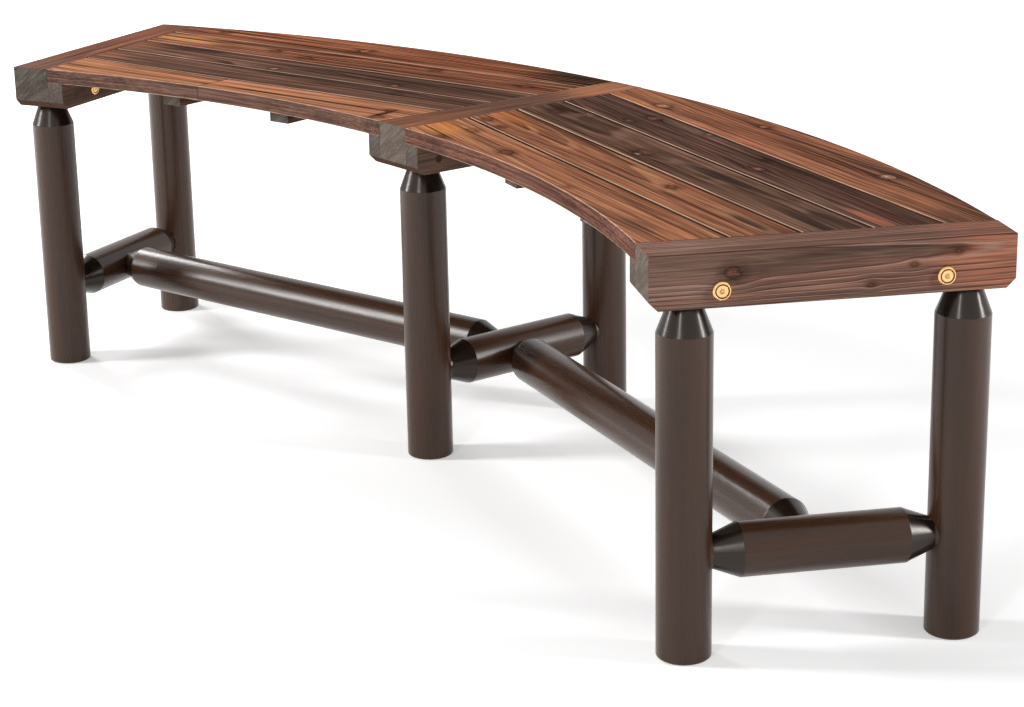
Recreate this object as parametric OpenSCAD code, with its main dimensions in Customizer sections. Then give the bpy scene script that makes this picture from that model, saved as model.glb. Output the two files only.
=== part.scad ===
// Curved garden bench of round logs, with two bays of straight slats sawn to one arc.
// Origin: middle of the footprint, on the ground. +X along the bench, +Y to the convex back, +Z up.

/* [Seat] */
// Radius of the concave front edge, seen from above
seat_front_r = 1495; // [1350:5:1650]
// Depth of the seat, from the front edge to the back edge
seat_depth = 390; // [370:5:430]
// Height of the seat above the ground
seat_h = 450; // [400:5:500]
// Angle between the centre rail and each end rail, in degrees
bay_angle = 27; // [22:0.5:29]

/* [Slats] */
// Thickness of a slat
slat_t = 20; // [16:1:26]
// Width of each of the three inner slats
slat_w = 72; // [66:1:74]
// Gap between two slats
slat_gap = 3.3; // [2:0.1:5]
// Gap between a slat's end and the rail
slat_end_gap = 0.4; // [0.2:0.1:0.8]
// Bevel along the top edges of a slat
slat_ease = 1.5; // [0.5:0.1:2.5]

/* [Rails and cleats] */
// Width of a rail
rail_w = 58; // [50:1:66]
// Height of a rail
rail_h = 58; // [52:1:66]
// Bevel across the bottom corners at both ends of rails and cleats
rail_bevel = 10; // [5:1:14]
// Width of a cleat, which is the ledge that a slat's end lies on
cleat_w = 25; // [21:1:32]

/* [Logs] */
// Diameter of legs and stretchers
log_d = 60; // [56:1:64]
// Diameter of the turned tenons
tenon_d = 36; // [30:1:38]
// Length of the turned cone between a log and its tenon
cone_len = 31; // [24:1:36]
// Depth that a stretcher's cone beds into the log that it enters
cone_sink = 2; // [1:0.5:4]
// Length of the tenon on a leg
leg_tenon_len = 32; // [26:1:38]
// Length of the tenon on a stretcher
stretcher_tenon_len = 19; // [14:1:20]
// Bevel round the foot of a leg
foot_ease = 2; // [1:0.5:4]
// Distance of a leg's axis from the seat's front or back edge
leg_inset = 45; // [40:1:55]
// Height of the stretchers' axes above the ground
stretcher_z = 116; // [90:1:160]
// Distance of the long stretchers in front of the middle of the cross stretchers
long_stretcher_lead = 8; // [0:1:16]

/* [Battens] */
// Width of a batten
batten_w = 34; // [28:1:45]
// Thickness of a batten
batten_t = 20; // [16:1:26]
// Distance of a batten's ends from the seat's edges
batten_inset = 23; // [15:1:26]
// Distance of the left batten from the middle of its bay
batten_left = 125; // [90:1:150]
// Distance of the right batten from the middle of its bay
batten_right = 85; // [60:1:150]

/* [Fasteners] */
// Distance of a bolt from the axis of the nearest leg
bolt_lead = 31; // [27:1:40]
// Height of the bolts and cleat screws above the bottom of the rails
bolt_rise = 18; // [16:0.5:20]
// Diameter of a bolt's shank
bolt_d = 8; // [6:0.5:9]
// Diameter of a bolt's head
bolt_head_d = 20; // [16:0.5:24]
// Thickness of a bolt's head
bolt_head_t = 4; // [3:0.5:6]
// Width across the flats of the hexagon socket
socket_af = 6; // [4:0.5:8]
// Outer diameter of a nut's sleeve
sleeve_d = 11; // [10:0.5:12]
// Length of a nut's sleeve
sleeve_len = 20; // [15:1:20]
// Diameter of a nut's flange
nut_head_d = 18; // [15:0.5:20]
// Diameter of a cleat screw
cleat_screw_d = 5; // [4:0.5:6]
// Distance between the tip of a cleat screw and the middle of the rail
cleat_screw_stop = 4; // [2:1:8]
// Distance between a cleat screw and the axis of the leg that it pins
cleat_screw_lead = 12; // [8:1:13]
// Diameter of a batten screw
batten_screw_d = 4; // [3:0.5:5]
// Depth that a batten screw goes into a slat
batten_screw_bite = 10; // [7:1:12]

/* [Fits] */
// Radial clearance of a tenon, a bolt and a nut in its bore
bore_gap = 0.1; // [0.05:0.05:0.3]
// Depth that a bore goes past the end of its tenon
bore_deep = 1; // [0.5:0.5:2]

/* [Hidden] */
$fn = 48;
arc_fn = 360;
small_fn = 16;
cut = 1;
LEFT = -1;
CENTRE = 0;
RIGHT = 1;
FRONT = 1;
BACK = -1;
seam_turn = 45;
slat_count = 5;
middle_slat = 3;
log_r = log_d / 2;
half_bay = bay_angle / 2;
seat_back_r = seat_front_r + seat_depth;
seat_mid_r = seat_front_r + seat_depth / 2;
rail_bottom = seat_h - rail_h;
slat_bottom = seat_h - slat_t;
batten_bottom = slat_bottom - batten_t;
shoulder_z = rail_bottom - cone_len;
bolt_z = rail_bottom + bolt_rise;
rail_face = rail_w / 2;
cleat_face = rail_face + cleat_w;
bore_d = tenon_d + 2 * bore_gap;
bolt_bore_d = bolt_d + 2 * bore_gap;
sleeve_bore_d = sleeve_d + 2 * bore_gap;
socket_d = socket_af / cos(30);
cleat_screw_len = cleat_face - cleat_screw_stop;
batten_screw_len = batten_t + batten_screw_bite;
// The footprint runs from the end rails' outer front corners to the centre rail's back end.
near_y = seat_front_r * cos(bay_angle) - rail_face * sin(bay_angle);
centre_y = (near_y + seat_back_r) / 2;
// The boards of a bay lie side by side, centred between the front arc at the rails and the back arc.
board_front = seat_front_r * cos(half_bay);
slat_mid_r = (board_front + seat_back_r) / 2;
slat_pitch = slat_w + slat_gap;
batten_front = seat_front_r + batten_inset;
batten_back = seat_back_r * cos(asin(batten_left / seat_back_r)) - batten_inset;
// Distances between the axes that a stretcher joins, and from such an axis to the tip of its cone.
long_r = seat_mid_r - long_stretcher_lead;
long_span = 2 * long_r * sin(half_bay);
long_seat = log_r / cos(half_bay) - cone_sink;
cross_span = seat_depth - 2 * leg_inset;
cross_seat = log_r - cone_sink;
stain = [0.27, 0.2, 0.18];
slat_brown = [0.55, 0.33, 0.22];
rail_brown = [0.5, 0.35, 0.29];
brass = [0.85, 0.68, 0.4];
zinc = [0.6, 0.6, 0.58];

// Distance of a row of legs, and of its bolts and cleat screws, from the arc's centre.
function leg_r(row) = row == FRONT ? seat_front_r + leg_inset : seat_back_r - leg_inset;
function bolt_r(row) = leg_r(row) + row * bolt_lead;
function screw_r(row) = leg_r(row) - row * cleat_screw_lead;

// The sides of a rail on which a bay begins: both on the centre rail, the inner one on an end rail.
function bay_sides(side) = side == CENTRE ? [LEFT, RIGHT] : [-side];

// Heads are outside on the end rails and left on the centre rail, nuts on the cleat across from them.
function head_side(side) = side == RIGHT ? RIGHT : LEFT;
function head_face(side) = side == CENTRE ? cleat_face : rail_face;

// The front and back edges of slat i, measured from the arc's centre. The outer two are sawn to the arcs.
function slat_y(i) = slat_mid_r + (i - middle_slat) * slat_pitch;
function slat_front(i) = i == 1 ? board_front - slat_w : slat_y(i) - slat_w / 2;
function slat_back(i) = i == slat_count ? seat_back_r + slat_w : slat_y(i) + slat_w / 2;

// Where a batten's screw enters slat i: in the middle of what lies over the batten.
function fix_y(i) = (max(slat_front(i), batten_front) + min(slat_back(i), batten_back)) / 2;

// Places its children in the frame of a rail: arc centre at the origin, +Y outward along the rail.
module at_rail(side) {
    translate([0, -centre_y, 0]) rotate([0, 0, -side * bay_angle]) children();
}

// Places its children in the frame of a bay: arc centre at the origin, +Y outward through its middle.
module in_bay(side) {
    translate([0, -centre_y, 0]) rotate([0, 0, -side * half_bay]) children();
}

// A round bore along X, centred on its own middle.
module along_x(d, len) {
    rotate([0, 90, 0]) cylinder(h = len, d = d, center = true);
}

// The bore for a stretcher's tenon along +Z, from the axis of the log that it is in, with a conical mouth.
module log_bore(seat) {
    depth = stretcher_tenon_len + bore_deep;
    translate([0, 0, seat - depth]) cylinder(h = depth, d = bore_d);
    translate([0, 0, seat]) cylinder(h = cone_len, d1 = bore_d, d2 = log_d + 2 * bore_gap);
}

// A leg with its cone and tenon, a bore for the cross stretcher and one for the cleat screws.
// It is turned so that the seam of the revolve lies between the bores.
module leg(side, row) {
    color(stain) at_rail(side) translate([0, leg_r(row), 0]) difference() {
        rotate([0, 0, seam_turn]) rotate_extrude() polygon([
            [0, 0],
            [log_r - foot_ease, 0],
            [log_r, foot_ease],
            [log_r, shoulder_z],
            [tenon_d / 2, rail_bottom],
            [tenon_d / 2, rail_bottom + leg_tenon_len],
            [0, rail_bottom + leg_tenon_len],
        ]);
        translate([0, 0, stretcher_z]) rotate([-90 * row, 0, 0]) log_bore(cross_seat);
        translate([0, -row * cleat_screw_lead, bolt_z]) along_x(cleat_screw_d, log_d);
    }
}

// A log along Y, centred on its own middle, with a cone and a tenon at both ends.
// It is turned so that the seam of the revolve lies above and below, away from the bores.
module turned_log(span, seat) {
    tip = span / 2 - seat;
    end = tip + stretcher_tenon_len;
    rotate([-90, 0, 0]) rotate([0, 0, 90]) rotate_extrude() polygon([
        [0, -end],
        [tenon_d / 2, -end],
        [tenon_d / 2, -tip],
        [log_r, cone_len - tip],
        [log_r, tip - cone_len],
        [tenon_d / 2, tip],
        [tenon_d / 2, end],
        [0, end],
    ]);
}

// A cross stretcher, with a bore for each long stretcher that meets it.
module cross_stretcher(side) {
    color(stain) at_rail(side) translate([0, seat_mid_r, stretcher_z]) difference() {
        turned_log(cross_span, cross_seat);
        for (toward = bay_sides(side))
            translate([0, -long_stretcher_lead, 0])
                rotate([0, 0, -toward * half_bay])
                rotate([0, 90 * toward, 0])
                log_bore(long_seat);
    }
}

// A long stretcher, from the centre cross stretcher to an end one.
module long_stretcher(side) {
    color(stain) in_bay(side)
        translate([0, long_r * cos(half_bay), stretcher_z])
        rotate([0, 0, 90]) turned_log(long_span, long_seat);
}

// A bar along the seat's depth, from x0 to x1 in a rail's frame, with its bottom corners bevelled.
module bevelled_bar(x0, x1, top) {
    translate([x0, 0, 0]) rotate([90, 0, 90]) linear_extrude(x1 - x0) polygon([
        [seat_front_r, rail_bottom + rail_bevel],
        [seat_front_r + rail_bevel, rail_bottom],
        [seat_back_r - rail_bevel, rail_bottom],
        [seat_back_r, rail_bottom + rail_bevel],
        [seat_back_r, top],
        [seat_front_r, top],
    ]);
}

// A rail, with blind bores for the leg tenons, and bores for bolts and cleat screws.
module rail(side) {
    color(rail_brown) at_rail(side) difference() {
        bevelled_bar(-rail_face, rail_face, seat_h);
        for (row = [FRONT, BACK]) {
            translate([0, leg_r(row), rail_bottom - cut])
                cylinder(h = leg_tenon_len + bore_deep + cut, d = bore_d);
            translate([0, bolt_r(row), bolt_z]) along_x(bolt_bore_d, rail_w + 2 * cut);
            for (toward = bay_sides(side))
                translate([toward * rail_face, screw_r(row), bolt_z]) along_x(cleat_screw_d, rail_w);
        }
    }
}

// The cleat on one side of a rail. Its bolt bores take the nuts' sleeves, unless the heads are on that side.
module cleat(side, toward) {
    through_d = toward == head_side(side) ? bolt_bore_d : sleeve_bore_d;
    middle = toward * (rail_face + cleat_face) / 2;
    color(rail_brown) at_rail(side) difference() {
        bevelled_bar(middle - cleat_w / 2, middle + cleat_w / 2, slat_bottom);
        for (row = [FRONT, BACK]) {
            translate([middle, bolt_r(row), bolt_z]) along_x(through_d, cleat_w + 2 * cut);
            translate([middle, screw_r(row), bolt_z]) along_x(cleat_screw_d, cleat_w + 2 * cut);
            translate([toward * cleat_face, screw_r(row), bolt_z])
                rotate([0, -90 * toward, 0]) screw_head(cleat_screw_d);
        }
    }
}

// The countersunk head of a screw, twice as wide as its shank, from z = 0 along +Z.
module screw_head(d) {
    cylinder(h = d / 2, d1 = 2 * d, d2 = d);
}

// A countersunk screw from z = 0 along +Z, with a blunt point.
module screw(d, len) {
    screw_head(d);
    cylinder(h = len - d, d = d);
    translate([0, 0, len - d]) cylinder(h = d, d1 = d, d2 = d / 4);
}

// The two screws of a cleat, which go on into the rail and the leg tenons.
module cleat_screws(side, toward) {
    color(zinc) at_rail(side)
        for (row = [FRONT, BACK])
            translate([toward * cleat_face, screw_r(row), bolt_z])
                rotate([0, -90 * toward, 0]) screw(cleat_screw_d, cleat_screw_len);
}

// A flat round head that stands on z = 0, with a hexagon socket in it.
module socket_head(d, t) {
    difference() {
        union() {
            cylinder(h = t / 2, d = d);
            translate([0, 0, t / 2]) cylinder(h = t / 2, d1 = d, d2 = d - t);
        }
        translate([0, 0, t / 4]) cylinder(h = t, d = socket_d, $fn = 6);
    }
}

// A bolt through a rail and its cleats, which ends in the nut's sleeve.
module bolt(side, row) {
    out = head_side(side);
    reach = head_face(side) + cleat_face - bolt_head_t;
    color(brass) at_rail(side)
        translate([out * head_face(side), bolt_r(row), bolt_z])
        rotate([0, 90 * out, 0]) {
            socket_head(bolt_head_d, bolt_head_t);
            translate([0, 0, -reach]) cylinder(h = reach, d = bolt_d);
        }
}

// The sleeve nut at the far end of a bolt, its flange on the cleat.
module nut(side, row) {
    out = -head_side(side);
    wall = bolt_head_t / 2;
    color(brass) at_rail(side)
        translate([out * cleat_face, bolt_r(row), bolt_z])
        rotate([0, 90 * out, 0]) {
            socket_head(nut_head_d, bolt_head_t);
            translate([0, 0, -sleeve_len]) difference() {
                cylinder(h = sleeve_len, d = sleeve_d);
                translate([0, 0, -cut]) cylinder(h = sleeve_len - wall + cut, d = bolt_bore_d);
            }
        }
}

// The space between the rails of a bay, over the height of the slats.
module bay_prism() {
    near = board_front - slat_w;
    far = seat_back_r + slat_w;
    inset = (rail_face + slat_end_gap) / cos(half_bay);
    translate([0, 0, slat_bottom - cut]) linear_extrude(slat_t + 2 * cut) polygon([
        [inset - near * tan(half_bay), near],
        [near * tan(half_bay) - inset, near],
        [far * tan(half_bay) - inset, far],
        [inset - far * tan(half_bay), far],
    ]);
}

// The whole seat as a ring with its two top edges bevelled: the arcs that the outer slats are sawn to.
module seat_ring() {
    rotate_extrude($fn = arc_fn) polygon([
        [seat_front_r, slat_bottom],
        [seat_back_r, slat_bottom],
        [seat_back_r, seat_h - slat_ease],
        [seat_back_r - slat_ease, seat_h],
        [seat_front_r + slat_ease, seat_h],
        [seat_front_r, seat_h - slat_ease],
    ]);
}

// A board across a bay from y0 to y1, with its top edges bevelled.
module board(y0, y1) {
    len = 2 * (seat_back_r + slat_w) * tan(half_bay);
    translate([-len / 2, 0, 0]) rotate([90, 0, 90]) linear_extrude(len) polygon([
        [y0, slat_bottom],
        [y1, slat_bottom],
        [y1, seat_h - slat_ease],
        [y1 - slat_ease, seat_h],
        [y0 + slat_ease, seat_h],
        [y0, seat_h - slat_ease],
    ]);
}

// Slat i of a bay, counted from the front, sawn to the rails and, if it is an outer one, to the arcs.
module sawn_slat(i) {
    if (i == 1 || i == slat_count) {
        intersection() {
            board(slat_front(i), slat_back(i));
            bay_prism();
            seat_ring();
        }
    } else {
        intersection() {
            board(slat_front(i), slat_back(i));
            bay_prism();
        }
    }
}

// A slat with the blind bores of its batten screws.
module slat(side, i) {
    color(slat_brown) in_bay(side) difference() {
        sawn_slat(i);
        for (x = [-batten_left, batten_right])
            translate([x, fix_y(i), slat_bottom - cut])
                cylinder(h = batten_screw_bite + cut, d = batten_screw_d, $fn = small_fn);
    }
}

// A batten under the slats of a bay at x, with countersunk bores.
module batten(side, x) {
    color(rail_brown) in_bay(side) difference() {
        translate([x - batten_w / 2, batten_front, batten_bottom])
            cube([batten_w, batten_back - batten_front, batten_t]);
        for (i = [1:slat_count]) translate([x, fix_y(i), batten_bottom]) {
            translate([0, 0, -cut]) cylinder(h = batten_t + 2 * cut, d = batten_screw_d, $fn = small_fn);
            screw_head(batten_screw_d, $fn = small_fn);
        }
    }
}

// The screws of a batten, one into each slat.
module batten_screws(side, x) {
    color(zinc) in_bay(side)
        for (i = [1:slat_count]) translate([x, fix_y(i), batten_bottom])
            screw(batten_screw_d, batten_screw_len, $fn = small_fn);
}

leg(LEFT, FRONT);  // left_front_leg
leg(LEFT, BACK);  // left_back_leg
leg(CENTRE, FRONT);  // centre_front_leg
leg(CENTRE, BACK);  // centre_back_leg
leg(RIGHT, FRONT);  // right_front_leg
leg(RIGHT, BACK);  // right_back_leg
cross_stretcher(LEFT);  // left_cross_stretcher
cross_stretcher(CENTRE);  // centre_cross_stretcher
cross_stretcher(RIGHT);  // right_cross_stretcher
long_stretcher(LEFT);  // left_long_stretcher
long_stretcher(RIGHT);  // right_long_stretcher
rail(LEFT);  // left_end_rail
rail(CENTRE);  // centre_rail
rail(RIGHT);  // right_end_rail
cleat(LEFT, RIGHT);  // left_end_cleat
cleat(CENTRE, LEFT);  // centre_left_cleat
cleat(CENTRE, RIGHT);  // centre_right_cleat
cleat(RIGHT, LEFT);  // right_end_cleat
batten(LEFT, -batten_left);  // left_bay_batten_1
batten(LEFT, batten_right);  // left_bay_batten_2
batten(RIGHT, -batten_left);  // right_bay_batten_1
batten(RIGHT, batten_right);  // right_bay_batten_2
slat(LEFT, 1);  // left_slat_1
slat(LEFT, 2);  // left_slat_2
slat(LEFT, 3);  // left_slat_3
slat(LEFT, 4);  // left_slat_4
slat(LEFT, 5);  // left_slat_5
slat(RIGHT, 1);  // right_slat_1
slat(RIGHT, 2);  // right_slat_2
slat(RIGHT, 3);  // right_slat_3
slat(RIGHT, 4);  // right_slat_4
slat(RIGHT, 5);  // right_slat_5
bolt(LEFT, FRONT);  // left_front_bolt
bolt(LEFT, BACK);  // left_back_bolt
bolt(CENTRE, FRONT);  // centre_front_bolt
bolt(CENTRE, BACK);  // centre_back_bolt
bolt(RIGHT, FRONT);  // right_front_bolt
bolt(RIGHT, BACK);  // right_back_bolt
nut(LEFT, FRONT);  // left_front_nut
nut(LEFT, BACK);  // left_back_nut
nut(CENTRE, FRONT);  // centre_front_nut
nut(CENTRE, BACK);  // centre_back_nut
nut(RIGHT, FRONT);  // right_front_nut
nut(RIGHT, BACK);  // right_back_nut
cleat_screws(LEFT, RIGHT);  // left_end_cleat_screws
cleat_screws(CENTRE, LEFT);  // centre_left_cleat_screws
cleat_screws(CENTRE, RIGHT);  // centre_right_cleat_screws
cleat_screws(RIGHT, LEFT);  // right_end_cleat_screws
batten_screws(LEFT, -batten_left);  // left_bay_batten_1_screws
batten_screws(LEFT, batten_right);  // left_bay_batten_2_screws
batten_screws(RIGHT, -batten_left);  // right_bay_batten_1_screws
batten_screws(RIGHT, batten_right);  // right_bay_batten_2_screws
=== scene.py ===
"""Looks of a curved garden bench: turned and stained logs under straight slats of carbonised fir.

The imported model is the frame. Each piece of wood is remade from its node with eased edges or turned
anew from its node's sizes, and gets a wood of its own: rings round a pith, knots, scorch and fibres.
Lengths are in metres in Blender's space, and in millimetres where a name or a comment says so.
"""
import logging
import math
from collections.abc import Iterable, Iterator
from dataclasses import dataclass, replace
from enum import Enum

import bmesh
import bpy
from bmesh.types import BMEdge, BMesh, BMVert
from bpy.types import Material, Node, NodeSocket, Object, World
from mathutils import Euler, Matrix, Quaternion, Vector


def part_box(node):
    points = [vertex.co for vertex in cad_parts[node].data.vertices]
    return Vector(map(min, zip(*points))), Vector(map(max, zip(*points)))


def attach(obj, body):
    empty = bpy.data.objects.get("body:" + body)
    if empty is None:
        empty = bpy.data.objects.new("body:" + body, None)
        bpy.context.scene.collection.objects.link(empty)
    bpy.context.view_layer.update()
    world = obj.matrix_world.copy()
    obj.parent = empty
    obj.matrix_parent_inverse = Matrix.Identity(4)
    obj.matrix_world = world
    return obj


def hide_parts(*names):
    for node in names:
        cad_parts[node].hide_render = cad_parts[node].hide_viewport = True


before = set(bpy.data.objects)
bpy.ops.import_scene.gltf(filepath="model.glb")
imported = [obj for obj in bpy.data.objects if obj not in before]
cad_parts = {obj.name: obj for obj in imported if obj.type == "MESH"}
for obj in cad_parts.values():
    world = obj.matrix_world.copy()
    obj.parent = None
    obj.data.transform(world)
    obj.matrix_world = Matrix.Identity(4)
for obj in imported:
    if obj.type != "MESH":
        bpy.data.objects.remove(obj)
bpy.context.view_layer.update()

log = logging.getLogger("bench")

MM = 0.001
MERGE_DISTANCE = 0.001 * MM
# Faces that turn less than this are one flat face.
FLAT_ANGLE = math.radians(0.2)
# Edges that turn more than these are shaded sharp, eased, and eased on a turned log.
SHARP_ANGLE = math.radians(40)
EDGE_ANGLE = math.radians(25)
TURNED_EDGE_ANGLE = math.radians(10)
SHORTEST_EASED_EDGE = 1.2 * MM
# A length in mm that no board's thickness reaches.
BEYOND_BOARD = 1000
UP = Vector((0, 0, 1))
WHITE = "#FFFFFF"

# The setting of a MapRange that starts and ends softly.
SOFT = {"interpolation_type": "SMOOTHSTEP"}
# Most of a noise lies between these two values.
NOISE_LOW = 0.36
NOISE_HIGH = 0.64
# Parts of a ring, from 0 to 1: where its valley begins and ends, and where its crest does.
VALLEY_RISE = (0.3, 0.66)
VALLEY_DROP = (0.68, 0.74)
CREST_RISE = (0.72, 0.8)
CREST_DROP = (0.88, 1.0)


def linear(hex_colour: str) -> tuple[float, float, float, float]:
    """Turns an sRGB hex colour to linear.

    Args:
        hex_colour: The colour as "#RRGGBB".

    Returns:
        Red, green, blue and alpha, for a shader's socket.
    """
    parts = [int(hex_colour[i:i + 2], 16) / 255 for i in (1, 3, 5)]
    bent = [c / 12.92 if c <= 0.04045 else ((c + 0.055) / 1.055) ** 2.4 for c in parts]
    return (*bent, 1.0)


class Slot(Enum):
    """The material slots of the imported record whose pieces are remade."""

    LOG = "log_wood"
    SLAT = "slat_wood"
    BEAM = "beam_wood"
    BRASS = "brass"


class Side(Enum):
    """A rail's side of the bench, with its direction along X."""

    LEFT = -1
    CENTRE = 0
    RIGHT = 1

    @property
    def word(self) -> str:
        """The side as it stands in the names of nodes."""
        return self.name.lower()

    @property
    def rail(self) -> str:
        """The node of the side's rail."""
        return "centre_rail" if self is Side.CENTRE else f"{self.word}_end_rail"


class Row(Enum):
    """A row of legs, as it stands in the names of nodes."""

    FRONT = "front"
    BACK = "back"


BAYS = (Side.LEFT, Side.RIGHT)


@dataclass(frozen=True)
class Layer:
    """A colour laid over others, with its amount from 0 to 1 and the way that it is blended."""

    amount: NodeSocket | float
    colour: NodeSocket | tuple | str
    blending: str = "MIX"


class Graph:
    """The node tree of a material or a world, with the shader that it starts with."""

    def __init__(self, owner: Material | World, shader: str = "Principled BSDF") -> None:
        """Opens the node tree.

        Args:
            owner: The material or the world.
            shader: The name of its first shader node.
        """
        owner.use_nodes = True
        self.owner = owner
        self.tree = owner.node_tree
        self.shader = self.tree.nodes[shader]

    def add(self, kind: str, feeds: dict | tuple, out: int = 0, **settings: object) -> NodeSocket:
        """Adds a node.

        Args:
            kind: The node's type, without "ShaderNode".
            feeds: What its inputs get, as in feed.
            out: The number of the output that is wanted.
            **settings: The node's own settings.

        Returns:
            The output socket.
        """
        node = self.tree.nodes.new("ShaderNode" + kind)
        for key, value in settings.items():
            setattr(node, key, value)
        self.feed(node, feeds)
        return node.outputs[out]

    def feed(self, node: Node, feeds: dict | tuple) -> None:
        """Sets or links a node's inputs.

        Args:
            node: The node.
            feeds: A value, an sRGB hex colour or another node's output for each input, by the input's
                name or number, or as a tuple in the inputs' order.
        """
        for key, value in feeds.items() if isinstance(feeds, dict) else enumerate(feeds):
            if isinstance(value, NodeSocket):
                self.tree.links.new(value, node.inputs[key])
            else:
                node.inputs[key].default_value = linear(value) if isinstance(value, str) else value

    def layered(self, colour: NodeSocket | tuple | str, layers: Iterable[Layer]) -> NodeSocket:
        """Lays colours over one another.

        Args:
            colour: The lowest colour.
            layers: The others, from the lowest up.

        Returns:
            The colour that shows.
        """
        for layer in layers:
            # The colours of a Mix node are its inputs 6 and 7 and its output 2.
            feeds = {0: layer.amount, 6: colour, 7: layer.colour}
            colour = self.add("Mix", feeds, 2, data_type="RGBA", blend_type=layer.blending)
        return colour


def in_millimetres(g: Graph, middle: Vector, turn: Euler) -> NodeSocket:
    """Gives a point's place in mm on turned axes, from a middle in metres."""
    feeds = {"Vector": g.add("TexCoord", (), 3), "Location": middle, "Rotation": turn, "Scale": (MM, MM, MM)}
    return g.add("Mapping", feeds, vector_type="TEXTURE")


@dataclass(frozen=True)
class Knot:
    """A knot in a board, in mm from the middle of its face: how far it parts the rings, and its colours."""

    along: float
    across: float
    radius: float
    push: float = 0.75
    colour: str = "#3A2620"
    heart: str = "#855541"
    rim: float = 0.65


@dataclass(frozen=True)
class Patch:
    """A soft patch of scorch or of bare colour on a board, in mm from the middle of its face."""

    along: float
    across: float
    half_length: float
    half_width: float
    strength: float
    colour: str = "#382E2C"


@dataclass(frozen=True)
class BoardAxes:
    """A board's axes: its middle in metres, its grain, its face's width and half its thickness in mm."""

    middle: Vector
    along: Vector
    across: Vector
    half: float

    @property
    def through(self) -> Vector:
        """The direction through the board's thickness."""
        return self.along.cross(self.across)

    @property
    def turn(self) -> Euler:
        """The board's turn."""
        return Matrix((self.along, self.across, self.through)).transposed().to_euler()


@dataclass(frozen=True)
class CarbonisedFir:
    """Fir, scorched with a torch, wire-brushed and oiled.

    The brush wears the soft early wood down between the hard late rings, and the torch leaves the wood
    between orange-brown and black. The eye sees dark ring lines, long streaks, knots and pale worn arrises.
    A joint is where two boards butt, and a heart radius shows the dark heartwood. Lengths are in mm.
    """

    light: str = "#BE7F58"
    mid: str = "#935F43"
    dark: str = "#5E4030"
    valley: str = "#2E1C15"
    crest: str = "#D29A72"
    side: str = "#8A6459"
    gap: str = "#2A1D18"
    underside: str = "#4F3F38"
    end: str = "#685D55"
    end_band: str = "#7B7067"
    arris: str = "#D6B29A"
    heart: str = "#5A4640"
    bias: float = 0.0
    ring: float = 4.8
    ring_tone: float = 0.2
    valley_strength: float = 0.75
    crest_strength: float = 0.25
    line_strength: float = 0.7
    line_width: float = 2.6
    pith_depth: float = 75.0
    pith_across: float = 50.0
    lean: float = 0.0
    taper: float = 0.02
    waver: float = 20.0
    tremble: float = 2.0
    side_share: float = 0.8
    relief: float = 0.35
    worn_depth: float = 0.7
    worn_strength: float = 0.8
    heart_radius: float = 0.0
    joint: float | None = None
    knots: tuple[Knot, ...] = ()
    patches: tuple[Patch, ...] = ()


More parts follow.
